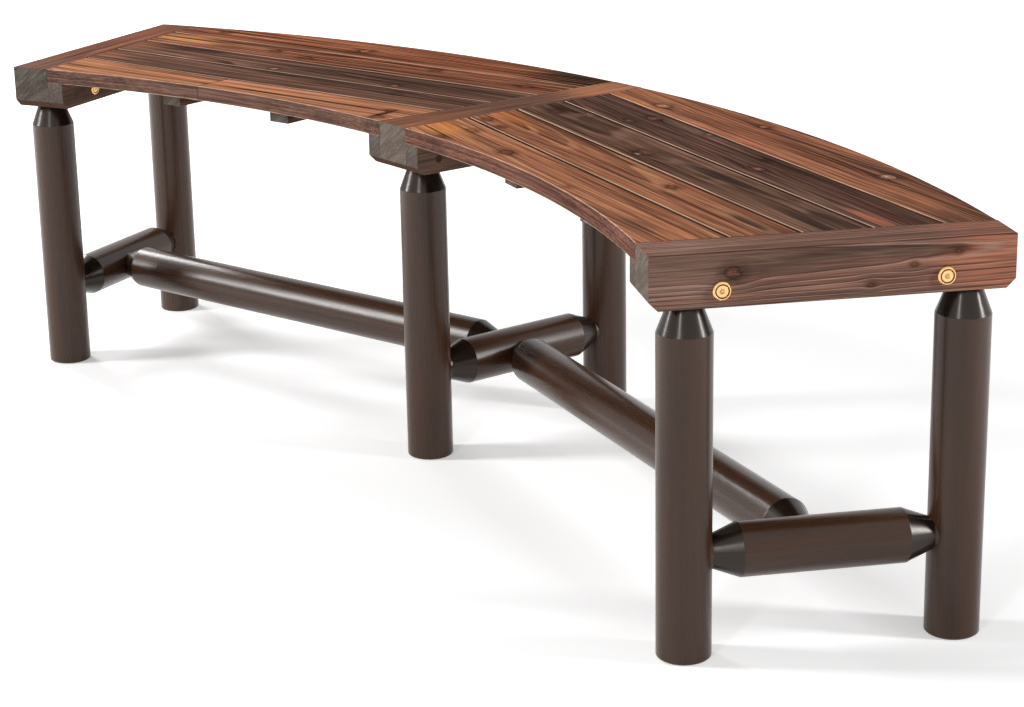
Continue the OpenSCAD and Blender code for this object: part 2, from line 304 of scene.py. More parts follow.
class BoardPainter:
    """Draws a wood on one board, in mm on the board's own axes."""

    def __init__(self, node: str, wood: CarbonisedFir, seed: float, axes: BoardAxes,
                 in_shaded_gap: tuple[bool, bool] = (False, False)) -> None:
        """Starts the board's material.

        Args:
            node: The board's CAD node.
            wood: Its wood.
            seed: What sets its noise apart from that of other boards.
            axes: Its place and directions.
            in_shaded_gap: Whether its front side and its back side stand in a gap between slats, where they
                get painted shade.
        """
        self.g = Graph(bpy.data.materials.new(f"carbonised_fir_{node}"))
        self.wood = wood
        self.seed = seed
        self.axes = axes
        self.in_shaded_gap = in_shaded_gap
        self.place = in_millimetres(self.g, axes.middle, axes.turn)
        self.depth = self.g.add("SeparateXYZ", (self.place,), 2)
        self.along = self.depth.node.outputs[0]
        self.normal = self.g.add("NewGeometry", (), 3)
        self.facing = self.toward(axes.through)
        self.ending = self.toward(axes.along)

    def build(self) -> Material:
        """Draws the wood, from its streaks to its fibres.

        Returns:
            The material.
        """
        g = self.g
        wood = self.wood
        radius = self.ring_radius()
        rings = g.add("Math", (radius, wood.ring), operation="DIVIDE")
        valley, crest = self.ring_lines(rings, radius)
        # Real fibres are 0.05 mm wide, and these are drawn 1.6 mm wide to show.
        fibres = self.noise(80, 1.6, shift=31.7)
        shade = g.add("MapRange", (fibres, NOISE_LOW, NOISE_HIGH, 0.7, 1.2))
        # The rings' dark valleys and pale crests are partly the brushed wood's own and partly painted shade
        # and painted highlight of its relief.
        colour = g.layered(wood.light, (
            *self.tones(rings), *self.brush_lines(), *self.joint_line(), *self.scorch(),
            *self.heartwood(radius), Layer(valley, wood.valley), Layer(crest, wood.crest), *self.knots(),
            *self.sides(), self.wear(), self.end_grain(), Layer(1.0, shade, "MULTIPLY")))
        rough = g.add("MapRange", (crest, 0.0, 0.5, 0.6, 0.45))
        height = g.add("Math", (fibres, 0.4, crest), operation="MULTIPLY_ADD")
        height = g.add("Math", (valley, -0.6, height), operation="MULTIPLY_ADD")
        bump = g.add("Bump", {"Strength": 1.0, "Distance": wood.relief * MM, "Height": height})
        # Charred and brushed wood is matt, and mirrors nothing even at a low angle.
        g.feed(g.shader, {"Base Color": colour, "Roughness": rough, "Normal": bump,
                          "Specular IOR Level": 0.0})
        return g.owner

    def toward(self, axis: Vector) -> NodeSocket:
        """Gives how far a face is turned to an axis or away from it, from 0 to 1."""
        dot = self.g.add("VectorMath", (self.normal, axis), 1, operation="DOT_PRODUCT")
        return self.g.add("Math", (dot,), operation="ABSOLUTE")

    def noise(self, long: float, wide: float, detail: float = 2.0, shift: float = 0.0,
              place: NodeSocket | None = None) -> NodeSocket:
        """Gives noise whose blotches are long along the grain.

        Args:
            long: The blotches' length in mm.
            wide: The blotches' width in mm.
            detail: The noise's octaves.
            shift: What sets this noise apart from others of the board.
            place: The place in mm, if it isn't the board's own.

        Returns:
            The noise, from about 0.25 to 0.75.
        """
        g = self.g
        offset = (self.seed * 7.3 + shift, self.seed * 3.1 - shift, self.seed)
        scale = (1 / long, 1 / wide, 1 / wide)
        scaled = g.add("Mapping", {"Vector": place or self.place, "Location": offset, "Scale": scale})
        if self.wood.joint is not None:
            # Past a butt joint lies another board, so its noise is taken from elsewhere.
            past = g.add("Math", (self.along, self.wood.joint), operation="GREATER_THAN")
            jump = g.add("VectorMath", {0: (31.0, 17.0, 0.0), "Scale": past}, operation="SCALE")
            scaled = g.add("VectorMath", (scaled, jump), operation="ADD")
        return g.add("TexNoise", {"Vector": scaled, "Scale": 1.0, "Detail": detail, "Roughness": 0.55})

    def ellipse(self, spot: Knot | Patch, half_length: float, half_width: float) -> NodeSocket:
        """Gives a point's place from the middle of a spot, which goes right through the board.

        Args:
            spot: The knot or the patch.
            half_length: Its half length in mm.
            half_width: Its half width.

        Returns:
            The place, in half lengths and half widths.
        """
        feeds = {"Vector": self.place, "Location": (spot.along, spot.across, 0),
                 "Scale": (half_length, half_width, BEYOND_BOARD)}
        return self.g.add("Mapping", feeds, vector_type="TEXTURE")

    def closeness(self, spot: Knot | Patch, half_length: float, half_width: float) -> NodeSocket:
        """Measures how close a point is to a spot of the board.

        Args:
            spot: The knot or the patch.
            half_length: How far along the grain its ellipse reaches, in mm.
            half_width: How far across the grain it reaches.

        Returns:
            1 in the middle, falling to 0.37 on the ellipse.
        """
        away = self.ellipse(spot, half_length, half_width)
        square = self.g.add("VectorMath", (away, away), 1, operation="DOT_PRODUCT")
        minus = self.g.add("Math", (square, -1.0), operation="MULTIPLY")
        return self.g.add("Math", (math.e, minus), operation="POWER")

    def ring_radius(self) -> NodeSocket:
        """Finds where in the trunk a point lay, whose rings part round the knots.

        Returns:
            The point's distance from the pith in mm.
        """
        g = self.g
        wood = self.wood
        place = self.place
        for knot in wood.knots:
            # The rings bend over some of the knot's radii, farther along the grain than across it.
            near = self.closeness(knot, 3.6 * knot.radius, 2.2 * knot.radius)
            away = g.add("VectorMath", (self.place, (knot.along, knot.across, 0)), operation="SUBTRACT")
            away = g.add("VectorMath", (away, (0, -knot.push, 0)), operation="MULTIPLY")
            away = g.add("VectorMath", {0: away, "Scale": near}, operation="SCALE")
            place = g.add("VectorMath", (place, away), operation="ADD")
        offset = (0, -wood.pith_across, wood.pith_depth)
        pith = g.add("Mapping", {"Vector": place, "Location": offset, "Rotation": (0, wood.lean, 0)})
        pith = g.add("VectorMath", (pith, (0, 1, 1)), operation="MULTIPLY")
        radius = g.add("VectorMath", (pith,), 1, operation="LENGTH")
        slow = self.noise(520, 50, 1.0, 1.7, place)
        quick = self.noise(130, 10, 2.0, 5.9, place)
        for bend, strength in ((self.along, wood.taper), (slow, wood.waver), (quick, wood.tremble)):
            radius = g.add("Math", (bend, strength, radius), operation="MULTIPLY_ADD")
        return radius

    def ring_lines(self, rings: NodeSocket, radius: NodeSocket) -> tuple[NodeSocket, NodeSocket]:
        """Draws each ring's lines: the dark valley that the brush left, and then the thin pale crest. They
        are partly painted shade in the valleys and painted highlight on the crests, for a relief that the
        mesh doesn't have.

        Args:
            rings: The number of the ring, with the place between two rings.
            radius: The point's distance from the pith in mm.

        Returns:
            The strength of the valleys and that of the crests.
        """
        g = self.g
        wood = self.wood
        part = g.add("Math", (rings,), operation="FRACT")
        deep = (self.ring_chance(rings), 0.0, 1.0, 0.2 * wood.valley_strength, wood.valley_strength)
        lines = []
        for start, end, strength in ((VALLEY_RISE, VALLEY_DROP, g.add("MapRange", deep)),
                                     (CREST_RISE, CREST_DROP, wood.crest_strength)):
            rise = g.add("MapRange", (part, *start, 0.0, 1.0), **SOFT)
            drop = g.add("MapRange", (part, *end, 1.0, 0.0), **SOFT)
            line = g.add("Math", (rise, drop), operation="MULTIPLY")
            line = g.add("Math", (line, strength), operation="MULTIPLY")
            if wood.heart_radius:
                # The heart was brushed less, and its rings show little.
                reach = wood.heart_radius
                outside = g.add("MapRange", (radius, reach, reach + 6, 0.12, 1.0))
                line = g.add("Math", (line, outside), operation="MULTIPLY")
            lines.append(line)
        return tuple(lines)

    def ring_chance(self, rings: NodeSocket, shift: float = 0.0) -> NodeSocket:
        """Gives each ring a chance number from 0 to 1, which another shift changes."""
        number = self.g.add("Math", (rings, shift), operation="ADD")
        number = self.g.add("Math", (number,), operation="FLOOR")
        return self.g.add("TexWhiteNoise", {"W": number}, noise_dimensions="1D")

    def tones(self, rings: NodeSocket) -> Iterator[Layer]:
        """Tones the wood in streaks from light to dark, a little apart from ring to ring.

        Args:
            rings: The number of the ring, with the place between two rings.
        """
        g = self.g
        bias = self.wood.bias
        streaks = self.noise(460, 10, 4.0, 11.3)
        tone = g.add("MapRange", (streaks, NOISE_LOW, 0.66, bias, bias + 1.0), clamp=False)
        own = g.add("Math", (self.ring_chance(rings, self.seed + 0.5), 0.5), operation="SUBTRACT")
        tone = g.add("Math", (own, self.wood.ring_tone, tone), operation="MULTIPLY_ADD")
        yield Layer(g.add("MapRange", (tone, 0.0, 0.55), **SOFT), self.wood.mid)
        yield Layer(g.add("MapRange", (tone, 0.5, 1.0), **SOFT), self.wood.dark)
        redder = (1.08, 0.95, 0.94, 1.0)
        greener = (0.95, 1.03, 1.0, 1.0)
        hue = g.add("MapRange", (self.noise(260, 8, 2.0, 71.3), NOISE_LOW, NOISE_HIGH))
        yield Layer(1.0, g.layered(redder, (Layer(hue, greener),)), "MULTIPLY")

    def brush_lines(self) -> Iterator[Layer]:
        """Draws the brush's lines. Real ones are 0.3 mm wide, and these 2 to 4 mm to show."""
        lines = self.noise(330, self.wood.line_width, 2.0, 47.1)
        strength = self.wood.line_strength
        yield Layer(self.g.add("MapRange", (lines, 0.53, 0.66, 0.0, strength)), self.wood.valley)
        yield Layer(self.g.add("MapRange", (lines, 0.44, 0.32, 0.0, 0.6 * strength)), self.wood.crest)

    def joint_line(self) -> Iterator[Layer]:
        """Draws the dark line of a butt joint, where the wood has one."""
        if self.wood.joint is not None:
            away = self.g.add("Math", (self.along, self.wood.joint), operation="SUBTRACT")
            away = self.g.add("Math", (away,), operation="ABSOLUTE")
            yield Layer(self.g.add("MapRange", (away, 0.8, 2.2, 0.75, 0.0)), self.wood.valley)

    def scorch(self) -> Iterator[Layer]:
        """Draws the patches, whose edges fray along the grain."""
        g = self.g
        ragged = g.add("MapRange", (self.noise(170, 5, 3.0, 23.9), 0.34, 0.6, 0.5, 1.35))
        for patch in self.wood.patches:
            near = self.closeness(patch, patch.half_length, patch.half_width)
            near = g.add("Math", (near, ragged), operation="MULTIPLY")
            yield Layer(g.add("MapRange", (near, 0.12, 0.95, 0.0, patch.strength), **SOFT), patch.colour)

    def heartwood(self, radius: NodeSocket) -> Iterator[Layer]:
        """Draws the heartwood where the wood has it, which ends in a dark line and a pale one.

        Args:
            radius: A point's distance from the pith in mm.
        """
        g = self.g
        wood = self.wood
        reach = wood.heart_radius
        if reach:
            yield Layer(g.add("MapRange", (radius, reach - 0.8, reach, 0.6, 0.0)), wood.heart)
            for line, tint, width in ((reach, wood.valley, 0.6), (reach + 1.1, wood.crest, 0.5)):
                away = g.add("Math", (radius, line), operation="SUBTRACT")
                away = g.add("Math", (away,), operation="ABSOLUTE")
                yield Layer(g.add("MapRange", (away, 0.3 * width, width, 0.75, 0.0)), tint)

    def knots(self) -> Iterator[Layer]:
        """Draws the knots: a soft dark halo, a dark rim, and a heart with rings of its own."""
        g = self.g
        for knot in self.wood.knots:
            wobble = self.noise(11, 7, 2.0, knot.along)
            away = self.ellipse(knot, 1.45 * knot.radius, knot.radius)
            reach = g.add("VectorMath", (away,), 1, operation="LENGTH")
            reach = g.add("Math", (wobble, 1.3, reach), operation="MULTIPLY_ADD")
            reach = g.add("Math", (reach, 0.2), operation="SUBTRACT")
            yield Layer(g.add("MapRange", (reach, 1.1, 2.7, 0.6 * knot.rim, 0.0), **SOFT), knot.colour)
            yield Layer(g.add("MapRange", (reach, 1.0, 1.6, knot.rim, 0.0), **SOFT), knot.colour)
            turns = g.add("Math", (reach, 14.0), operation="MULTIPLY")
            turns = g.add("Math", (turns,), operation="SINE")
            own = g.add("MapRange", (turns, -1.0, 1.0, 0.45, 1.0))
            middle = g.add("MapRange", (reach, 0.7, 1.25, 1.0, 0.0), **SOFT)
            yield Layer(g.add("Math", (own, middle), operation="MULTIPLY"), knot.heart)

    def sides(self) -> Iterator[Layer]:
        """Draws the sides' browner tint and their edges of rings, with painted shade on sides that stand in
        a gap and on faces that turn downward.
        """
        g = self.g
        wood = self.wood
        share = g.add("MapRange", (self.facing, 0.93, 0.8, 0.0, wood.side_share))
        front, back = [wood.gap if in_shaded_gap else wood.side for in_shaded_gap in self.in_shaded_gap]
        across = g.add("VectorMath", (self.normal, self.axes.across), 1, operation="DOT_PRODUCT")
        behind = g.add("Math", (across, 0.0), operation="GREATER_THAN")
        # Painted shade: a side that stands in a gap between slats is drawn in the dark gap colour.
        yield Layer(share, g.layered(front, (Layer(behind, back),)))
        # Seen from the edge, the rings are lines along the board. They are drawn 2.2 mm apart to show.
        offset = (self.seed, 0, self.seed)
        scale = (1 / 240, 1 / 90, 1 / 2.2)
        edge = g.add("Mapping", {"Vector": self.place, "Location": offset, "Scale": scale})
        edge = g.add("TexNoise", {"Vector": edge, "Scale": 1.0, "Detail": 2.0})
        yield Layer(share, g.add("MapRange", (edge, NOISE_LOW, NOISE_HIGH, 0.62, 1.32)), "MULTIPLY")
        # Painted shade: faces that turn downward are darkened, as if in the shade under the bench.
        upward = g.add("SeparateXYZ", (self.normal,), 2)
        yield Layer(g.add("MapRange", (upward, -0.3, -0.6, 0.0, 0.75)), wood.underside)

    def wear(self) -> Layer:
        """Wears the arrises along the board, which lie at its faces' edges and slant.

        Returns:
            The layer.
        """
        g = self.g
        depth = g.add("Math", (self.depth,), operation="ABSOLUTE")
        inner = self.axes.half - self.wood.worn_depth
        worn = g.add("MapRange", (depth, inner - 0.2, inner + 0.1, 0.0, self.wood.worn_strength))
        slant = g.add("MapRange", (self.facing, 0.985, 0.93, 0.0, 1.0))
        lengthwise = g.add("MapRange", (self.ending, 0.1, 0.3, 1.0, 0.0))
        for share in (slant, lengthwise):
            worn = g.add("Math", (worn, share), operation="MULTIPLY")
        return Layer(worn, self.wood.arris)

    def end_grain(self) -> Layer:
        """Draws the ends' grey, in slanting bands 3 to 6 mm wide.

        Returns:
            The layer.
        """
        g = self.g
        feeds = {"Vector": self.place, "Rotation": (0.9, 0.0, 0.0), "Scale": (60.0, 40.0, 6.0)}
        tilt = g.add("Mapping", feeds, vector_type="TEXTURE")
        band = g.add("TexNoise", {"Vector": tilt, "Scale": 1.0, "Detail": 3.0})
        band = g.add("MapRange", (band, 0.42, 0.62))
        grey = g.layered(self.wood.end, (Layer(band, self.wood.end_band),))
        return Layer(g.add("MapRange", (self.ending, 0.75, 0.9, 0.0, 1.0)), grey)


@dataclass(frozen=True)
class StainedLog:
    """A fir log turned on a lathe, stained dark brown and lacquered.

    The stain hides the wood but for faint streaks along the log. The lacquer is satin, with long soft
    highlights.
    """

    stain: str = "#3E2718"
    streak: str = "#42291B"
    deep: str = "#342118"

    def build(self, node: str, seed: float, middle: Vector, along: Vector) -> Material:
        """Makes the satin wood of one log.

        Args:
            node: The log's CAD node.
            seed: What sets this log's streaks apart.
            middle: A point on the log's axis in metres.
            along: The direction of its axis.

        Returns:
            The material.
        """
        g = Graph(bpy.data.materials.new(f"stained_fir_{node}"))
        place = in_millimetres(g, middle, along.to_track_quat("X", "Z").to_euler())
        shift = (seed * 5.7, seed * 2.3, seed)
        # Streaks are 17 mm wide. Real fibres are 0.05 mm wide, and these are drawn 1.8 mm wide to show.
        long = g.add("Mapping", {"Vector": place, "Location": shift, "Scale": (1 / 260, 1 / 17, 1 / 17)})
        streaks = g.add("TexNoise", {"Vector": long, "Scale": 1.0, "Detail": 3.0})
        fine = g.add("Mapping", {"Vector": place, "Location": shift, "Scale": (1 / 60, 1 / 1.8, 1 / 1.8)})
        fibres = g.add("TexNoise", {"Vector": fine, "Scale": 1.0, "Detail": 2.0})
        colour = g.layered(self.stain, (
            Layer(g.add("MapRange", (streaks, 0.5, 0.72), **SOFT), self.deep),
            Layer(g.add("MapRange", (streaks, 0.5, 0.3), **SOFT), self.streak),
            Layer(1.0, g.add("MapRange", (fibres, 0.3, 0.7, 0.94, 1.06)), "MULTIPLY")))
        bump = g.add("Bump", {"Strength": 0.3, "Distance": 0.03 * MM, "Height": fibres})
        rough = g.add("MapRange", (fibres, 0.3, 0.7, 0.25, 0.3))
        g.feed(g.shader, {"Base Color": colour, "Roughness": rough, "Normal": bump, "IOR": 1.42})
        return g.owner


@dataclass(frozen=True)
class BlackGloss:
    """The black gloss lacquer on the turned cones, sprayed thick, with crisp warm highlights."""

    black: str = "#0C0806"
    brown: str = "#261A14"
    highlight: str = "#FFF4EC"

    def build(self) -> Material:
        """Makes the lacquer, with a cloud of brown where it is thin.

        Returns:
            The material.
        """
        g = Graph(bpy.data.materials.new("black_gloss_lacquer_on_turned_cone"))
        here = g.add("TexCoord", (), 3)
        # Clouds in the lacquer are about 40 mm across.
        clouds = g.add("TexNoise", {"Vector": here, "Scale": 1 / (40 * MM), "Detail": 1.0})
        colour = g.layered(self.black, (Layer(clouds, self.brown),))
        rough = g.add("MapRange", (clouds, 0.3, 0.7, 0.2, 0.27))
        g.feed(g.shader, {"Base Color": colour, "Roughness": rough, "Specular IOR Level": 0.43,
                          "Specular Tint": self.highlight})
        return g.owner


@dataclass(frozen=True)
class Metal:
    """A plated steel: its name, its colour, its tarnish and its roughness, broken by turning marks."""

    name: str
    colour: str
    dull: str
    roughness: float

    def build(self) -> Material:
        """Makes the metal, with tarnish in soft spots and fine marks in its roughness.

        Returns:
            The material.
        """
        g = Graph(bpy.data.materials.new(self.name))
        here = g.add("TexCoord", (), 3)
        # Spots of tarnish are about 3 mm across, and turning marks 0.4 mm.
        spots = g.add("TexNoise", {"Vector": here, "Scale": 1 / (3 * MM), "Detail": 2.0})
        marks = g.add("TexNoise", {"Vector": here, "Scale": 1 / (0.4 * MM), "Detail": 1.0})
        tarnish = g.add("MapRange", (spots, 0.5, 0.75, 0.0, 0.3))
        colour = g.layered(self.colour, (Layer(tarnish, self.dull),))
        rough = g.add("MapRange", (marks, 0.3, 0.7, self.roughness - 0.06, self.roughness + 0.06))
        bump = g.add("Bump", {"Strength": 0.3, "Distance": 0.02 * MM, "Height": marks})
        g.feed(g.shader, {"Base Color": colour, "Metallic": 1.0, "Roughness": rough, "Normal": bump})
        return g.owner


def node_points(node: str) -> list[Vector]:
    """Gives the vertices of a CAD node, in metres."""
    return [v.co.copy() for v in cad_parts[node].data.vertices]


def box_middle(node: str) -> Vector:
    """Gives the middle of a CAD node's box."""
    low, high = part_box(node)
    return (low + high) / 2


def middle_along(points: list[Vector], axes: tuple[Vector, ...]) -> Vector:
    """Finds the middle of a box whose sides run along three axes.

    Args:
        points: The points that the box holds.
        axes: The axes, at right angles.

    Returns:
        The middle.
    """
    middle = Vector((0, 0, 0))
    for axis in axes:
        reaches = [p.dot(axis) for p in points]
        middle += axis * (min(reaches) + max(reaches)) / 2
    return middle


def board_axes(node: str, along: Vector, across: Vector) -> BoardAxes:
    """Finds a board's middle and half its thickness.

    Args:
        node: The board's CAD node.
        along: Its grain.
        across: The direction of its face's width.

    Returns:
        The board's axes.
    """
    middle = box_middle(node)
    through = along.cross(across)
    half = max(abs((p - middle).dot(through)) for p in node_points(node))
    return BoardAxes(middle, along, across, half / MM)


def folded_edges(shape: BMesh, angle: float) -> list[BMEdge]:
    """Finds the edges of a shape whose two faces are turned apart by more than an angle."""
    return [e for e in shape.edges if len(e.link_faces) == 2 and e.calc_face_angle(0) > angle]


def ease_edges(shape: BMesh, edges: list[BMEdge], width: float, segments: int) -> None:
    """Eases edges of a shape by a width in metres, with a number of faces across each."""
    bmesh.ops.bevel(shape, geom=edges, offset=width, offset_type="OFFSET", affect="EDGES",
                    segments=segments, profile=0.5, clamp_overlap=True, material=-1)


def eased_copy(node: str, width: float) -> BMesh:
    """Copies a CAD node and eases its edges.

    Args:
        node: The node's name.
        width: How far each edge is eased, in metres.

    Returns:
        The copy.
    """
    shape = bmesh.new()
    shape.from_mesh(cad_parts[node].data)
    bmesh.ops.remove_doubles(shape, verts=shape.verts, dist=MERGE_DISTANCE)
    bmesh.ops.dissolve_limit(shape, angle_limit=FLAT_ANGLE, verts=shape.verts, edges=shape.edges)
    edges = [e for e in folded_edges(shape, EDGE_ANGLE) if e.calc_length() > SHORTEST_EASED_EDGE]
    ease_edges(shape, edges, width, 2)
    return shape


def spun(profile: list[tuple[float, float]], segments: int) -> BMesh:
    """Spins a profile round Z.

    Args:
        profile: Each corner's radius and height, in metres.
        segments: The faces round the axis.

    Returns:
        The shape.
    """
    shape = bmesh.new()
    corners = [shape.verts.new((radius, 0, height)) for radius, height in profile]
    lines = [shape.edges.new(pair) for pair in zip(corners, corners[1:])]
    bmesh.ops.spin(shape, geom=corners + lines, cent=(0, 0, 0), axis=UP, dvec=(0, 0, 0),
                   angle=2 * math.pi, steps=segments, use_merge=True)
    bmesh.ops.remove_doubles(shape, verts=shape.verts, dist=MERGE_DISTANCE)
    return shape


def seat(shape: BMesh, middle: Vector, along: Vector) -> None:
    """Moves a shape that was spun round Z to a middle and a direction on the bench."""
    turn = along.to_track_quat("Z", "X").to_matrix().to_4x4()
    bmesh.ops.transform(shape, matrix=Matrix.Translation(middle) @ turn, verts=shape.verts)


def show(thing: Object) -> Object:
    """Puts an object into the scene and gives it back."""
    bpy.context.scene.collection.objects.link(thing)
    return thing


def finish_piece(name: str, shape: BMesh, slot: Slot, node: str, materials: tuple[Material, ...]) -> None:
    """Turns a shape into a piece of the bench that replaces a CAD node.

    Args:
        name: The piece's name.
        shape: Its shape, which is freed.
        slot: The record's slot of the piece; not used.
        node: The CAD node that it stands for.
        materials: Its materials, in the order of its faces' numbers.
    """
    mesh = bpy.data.meshes.new(name)
    shape.to_mesh(mesh)
    shape.free()
    mesh.polygons.foreach_set("use_smooth", [True] * len(mesh.polygons))
    mesh.set_sharp_from_angle(angle=SHARP_ANGLE)
    for material in materials:
        mesh.materials.append(material)
    piece = show(bpy.data.objects.new(name, mesh))
    flatten = piece.modifiers.new("flat_faces_stay_flat", "WEIGHTED_NORMAL")
    flatten.keep_sharp = True
    flatten.weight = 100
    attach(piece, "root")
    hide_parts(node)
    log.info("%s: %d faces, for %s", name, len(mesh.polygons), node)


class Plan:
    """The bench's plan, read from its legs: where the rails and the bays run."""

    def leg(self, side: Side, row: Row) -> Vector:
        """Gives the middle of a leg, on the ground."""
        middle = box_middle(f"{side.word}_{row.value}_leg")
        return Vector((middle.x, middle.y, 0))

    def outward(self, side: Side) -> Vector:
        """Gives the direction along a rail, away from the arc's centre."""
        return (self.leg(side, Row.BACK) - self.leg(side, Row.FRONT)).normalized()

    def along_bay(self, side: Side) -> Vector:
        """Gives the direction of a bay's slats, with X."""
        return (self.leg(side, Row.FRONT) - self.leg(Side.CENTRE, Row.FRONT)).normalized() * side.value

    def across_bay(self, side: Side) -> Vector:
        """Gives the direction across a bay's slats, away from the arc's centre."""
        return UP.cross(self.along_bay(side))


PLAN = Plan()


@dataclass(frozen=True)
class TurnedLog:
    """A log: its node, its axis, and the radius and place of its corners from a middle point on the axis."""

    node: str
    middle: Vector
    along: Vector
    profile: list[tuple[float, float]]


@dataclass
class LogFrame:
    """The legs and stretchers, each a turned log with a cone and a tenon at its ends."""

    segments: int = 96
    arris: float = 0.7 * MM
    arris_segments: int = 3
    cone_length: float = 31 * MM
    tenon_radius: float = 18 * MM
    foot_ease: float = 2 * MM
    rim_tolerance: float = 0.2 * MM
    cone_normal_z: tuple[float, float] = (0.2, 0.9)
    least_cone_face: float = 20 * MM * MM

    def build(self) -> None:
        """Makes all legs and stretchers, each with streaks of its own."""
        gloss = BlackGloss().build()
        logs = [self.leg(f"{side.word}_{row.value}_leg") for side in Side for row in Row]
        logs += [self.stretcher(f"{side.word}_cross_stretcher", PLAN.outward(side)) for side in Side]
        logs += [self.stretcher(f"{side.word}_long_stretcher", PLAN.along_bay(side)) for side in BAYS]
        for seed, turned in enumerate(logs, 1):
            wood = StainedLog().build(turned.node, seed, turned.middle, turned.along)
            finish_piece(f"{turned.node}_turned", self.shape(turned), Slot.LOG, turned.node, (wood, gloss))

    def leg(self, node: str) -> TurnedLog:
        """Measures a leg: foot, shaft, cone and tenon, from the ground up.

        Args:
            node: The leg's CAD node.

        Returns:
            The log.
        """
        low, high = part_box(node)
        radius = (high.x - low.x) / 2
        rail_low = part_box(Side.CENTRE.rail)[0].z
        profile = [(0, low.z), (radius - self.foot_ease, low.z), (radius, low.z + self.foot_ease),
                   (radius, rail_low - self.cone_length), (self.tenon_radius, rail_low),
                   (self.tenon_radius, high.z), (0, high.z)]
        return TurnedLog(node, Vector(((low.x + high.x) / 2, (low.y + high.y) / 2, 0)), UP, profile)

    def stretcher(self, node: str, along: Vector) -> TurnedLog:
        """Measures a stretcher: tenon, cone, log, cone and tenon.

        Args:
            node: The stretcher's CAD node.
            along: The direction of its axis.

        Returns:
            The log.
        """
        low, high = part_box(node)
        radius = (high.z - low.z) / 2
        middle = (low + high) / 2
        points = node_points(node)
        reaches = [(p - middle).dot(along) for p in points]
        end = max(reaches)
        # The log's full thickness ends at its shoulders.
        shoulder = max(r for p, r in zip(points, reaches)
                       if abs((p - middle - along * r).length - radius) < self.rim_tolerance)
        half = [(radius, shoulder), (self.tenon_radius, shoulder + self.cone_length),
                (self.tenon_radius, end), (0, end)]
        return TurnedLog(node, middle, along, [(r, -place) for r, place in reversed(half)] + half)

    def shape(self, turned: TurnedLog) -> BMesh:
        """Turns a log and eases its arrises.

        Args:
            turned: The log.

        Returns:
            Its shape, with its cones' faces numbered 1.
        """
        shape = spun(turned.profile, self.segments)
        bmesh.ops.recalc_face_normals(shape, faces=shape.faces)
        # A cone's faces slant, and are larger than those of the foot's eased edge.
        least, most = self.cone_normal_z
        for face in shape.faces:
            if least < abs(face.normal.z) < most and face.calc_area() > self.least_cone_face:
                face.material_index = 1
        rims = [e for e in folded_edges(shape, TURNED_EDGE_ANGLE)
                if abs(e.verts[0].co.z - e.verts[1].co.z) < MERGE_DISTANCE]
        ease_edges(shape, rims, self.arris, self.arris_segments)
        seat(shape, turned.middle, turned.along)
        return shape


@dataclass
class Slats:
    """The boards of the seat, five in each bay, each with a wood of its own."""

    woods: dict[str, CarbonisedFir]
    count: int = 5
    ease: float = 0.45 * MM

    def build(self) -> None:
        """Makes all slats, each an eased copy of its node."""
        for bay, side in enumerate(BAYS):
            for number in range(1, self.count + 1):
                node = f"{side.word}_slat_{number}"
                axes = board_axes(node, PLAN.along_bay(side), PLAN.across_bay(side))
                seed = bay * self.count + number
                in_shaded_gap = (number > 1, number < self.count)
                wood = BoardPainter(node, self.woods[node], seed, axes, in_shaded_gap).build()
                finish_piece(f"{node}_board", eased_copy(node, self.ease), Slot.SLAT, node, (wood,))


@dataclass
class Beams:
    """The rails, their cleats and the battens under the slats."""

    rails: dict[Side, CarbonisedFir]
    cleat: CarbonisedFir
    batten: CarbonisedFir
    cleats: tuple[tuple[str, Side], ...] = (
        ("left_end_cleat", Side.LEFT), ("centre_left_cleat", Side.CENTRE),
        ("centre_right_cleat", Side.CENTRE), ("right_end_cleat", Side.RIGHT))
    rail_ease: float = 0.7 * MM
    cleat_ease: float = 0.6 * MM
    rail_seed: int = 21
    cleat_seed: int = 61
    batten_seed: int = 71

    def build(self) -> None:
        """Makes all rails, cleats and battens."""
        for seed, side in enumerate(Side, self.rail_seed):
            self.beam(side.rail, PLAN.outward(side), self.rails[side], seed, self.rail_ease)
        for seed, (node, side) in enumerate(self.cleats, self.cleat_seed):
            self.beam(node, PLAN.outward(side), self.cleat, seed, self.cleat_ease)
        for side in BAYS:
            for number in (1, 2):
                seed = self.batten_seed + 2 * number + side.value
                node = f"{side.word}_bay_batten_{number}"
                self.beam(node, PLAN.across_bay(side), self.batten, seed, self.cleat_ease)

    def beam(self, node: str, along: Vector, wood: CarbonisedFir, seed: float, width: float) -> None:
        """Makes one beam, whose grain runs along a direction, as an eased copy of its node."""
        material = BoardPainter(node, wood, seed, board_axes(node, along, UP)).build()
        finish_piece(f"{node}_sawn", eased_copy(node, width), Slot.BEAM, node, (material,))


